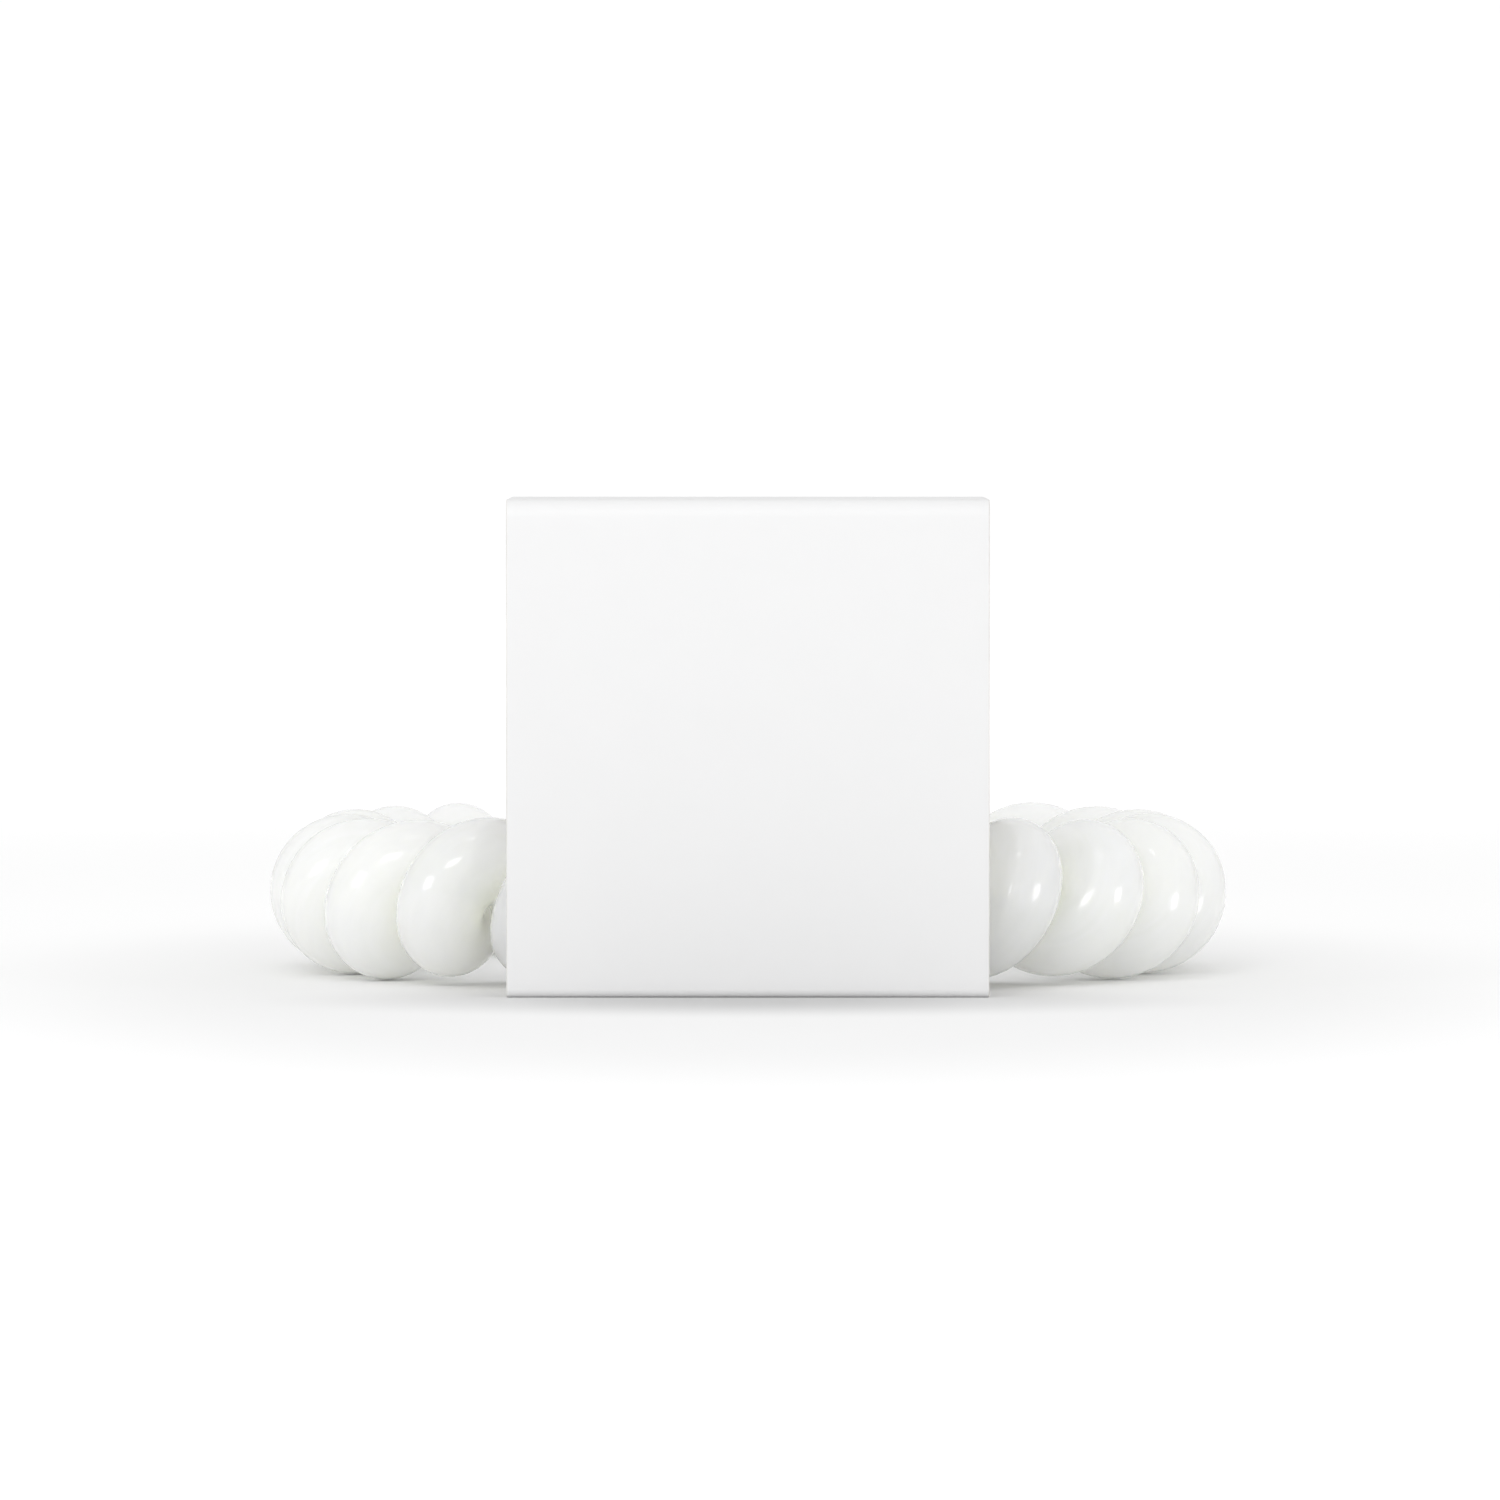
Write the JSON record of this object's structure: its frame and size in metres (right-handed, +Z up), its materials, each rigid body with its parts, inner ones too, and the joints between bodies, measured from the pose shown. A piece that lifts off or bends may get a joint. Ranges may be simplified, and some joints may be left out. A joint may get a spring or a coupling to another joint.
{
  "type": "spiral hair tie in a card sleeve",
  "caption": "Endless plastic cord coiled left-handed and closed to a ring that holds hair, lying flat in a blank folded card sleeve that is open at both sides.",
  "frame": {"origin": "under the ring's centre, at the height of the sleeve's underside, on which the part stands", "axes": "+Z up along the ring's axis, +X along the width of the sleeve, the sleeve at the front faces -Y"},
  "size_m": [0.0536, 0.0545, 0.0268],
  "materials": {
    "pearl_plastic": "glossy thermoplastic polyurethane, milky and pearl white, slightly see-through",
    "white_card": "smooth white card, matte, with bare cut edges"
  },
  "bodies": {
    "root": {"spiral_cord": "pearl_plastic", "card_sleeve": "white_card"}
  },
  "joints": []
}
